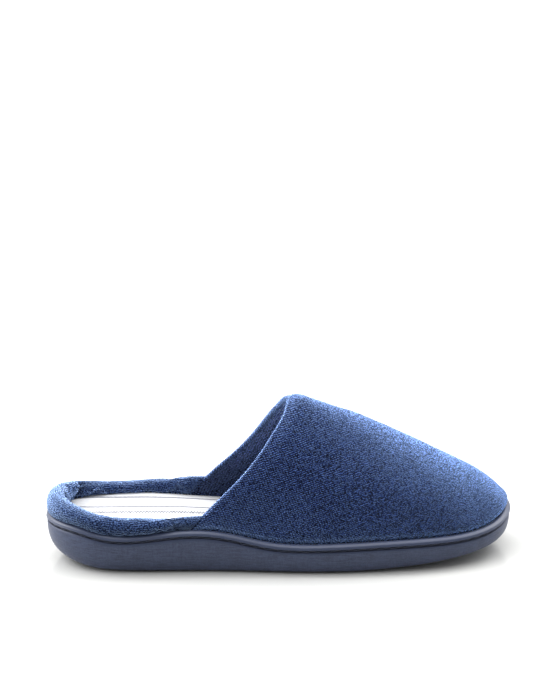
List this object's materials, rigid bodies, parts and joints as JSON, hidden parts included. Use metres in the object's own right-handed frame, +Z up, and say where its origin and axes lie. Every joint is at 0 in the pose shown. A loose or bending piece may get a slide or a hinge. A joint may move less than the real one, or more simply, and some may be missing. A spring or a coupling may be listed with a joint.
{
  "type": "house mule",
  "caption": "Closed-toe backless house mule for the right foot: soft vamp shell, padded heel collar and insole in a moulded cup sole with a wavy bead and stitched groove.",
  "frame": {"origin": "on the floor under the middle of the sole's length and width", "axes": "+X from heel to toe, +Y to the inner side of the right foot, +Z up"},
  "size_m": [0.284, 0.0984, 0.0977],
  "materials": {
    "outsole": "matte moulded rubber",
    "insole": "white cotton jersey with fine grey lines",
    "upper": "navy velour pile",
    "heel_collar": "navy looped pile over foam"
  },
  "bodies": {
    "root": {"outsole": "outsole", "insole": "insole", "upper": "upper", "heel_collar": "heel_collar"}
  },
  "joints": []
}
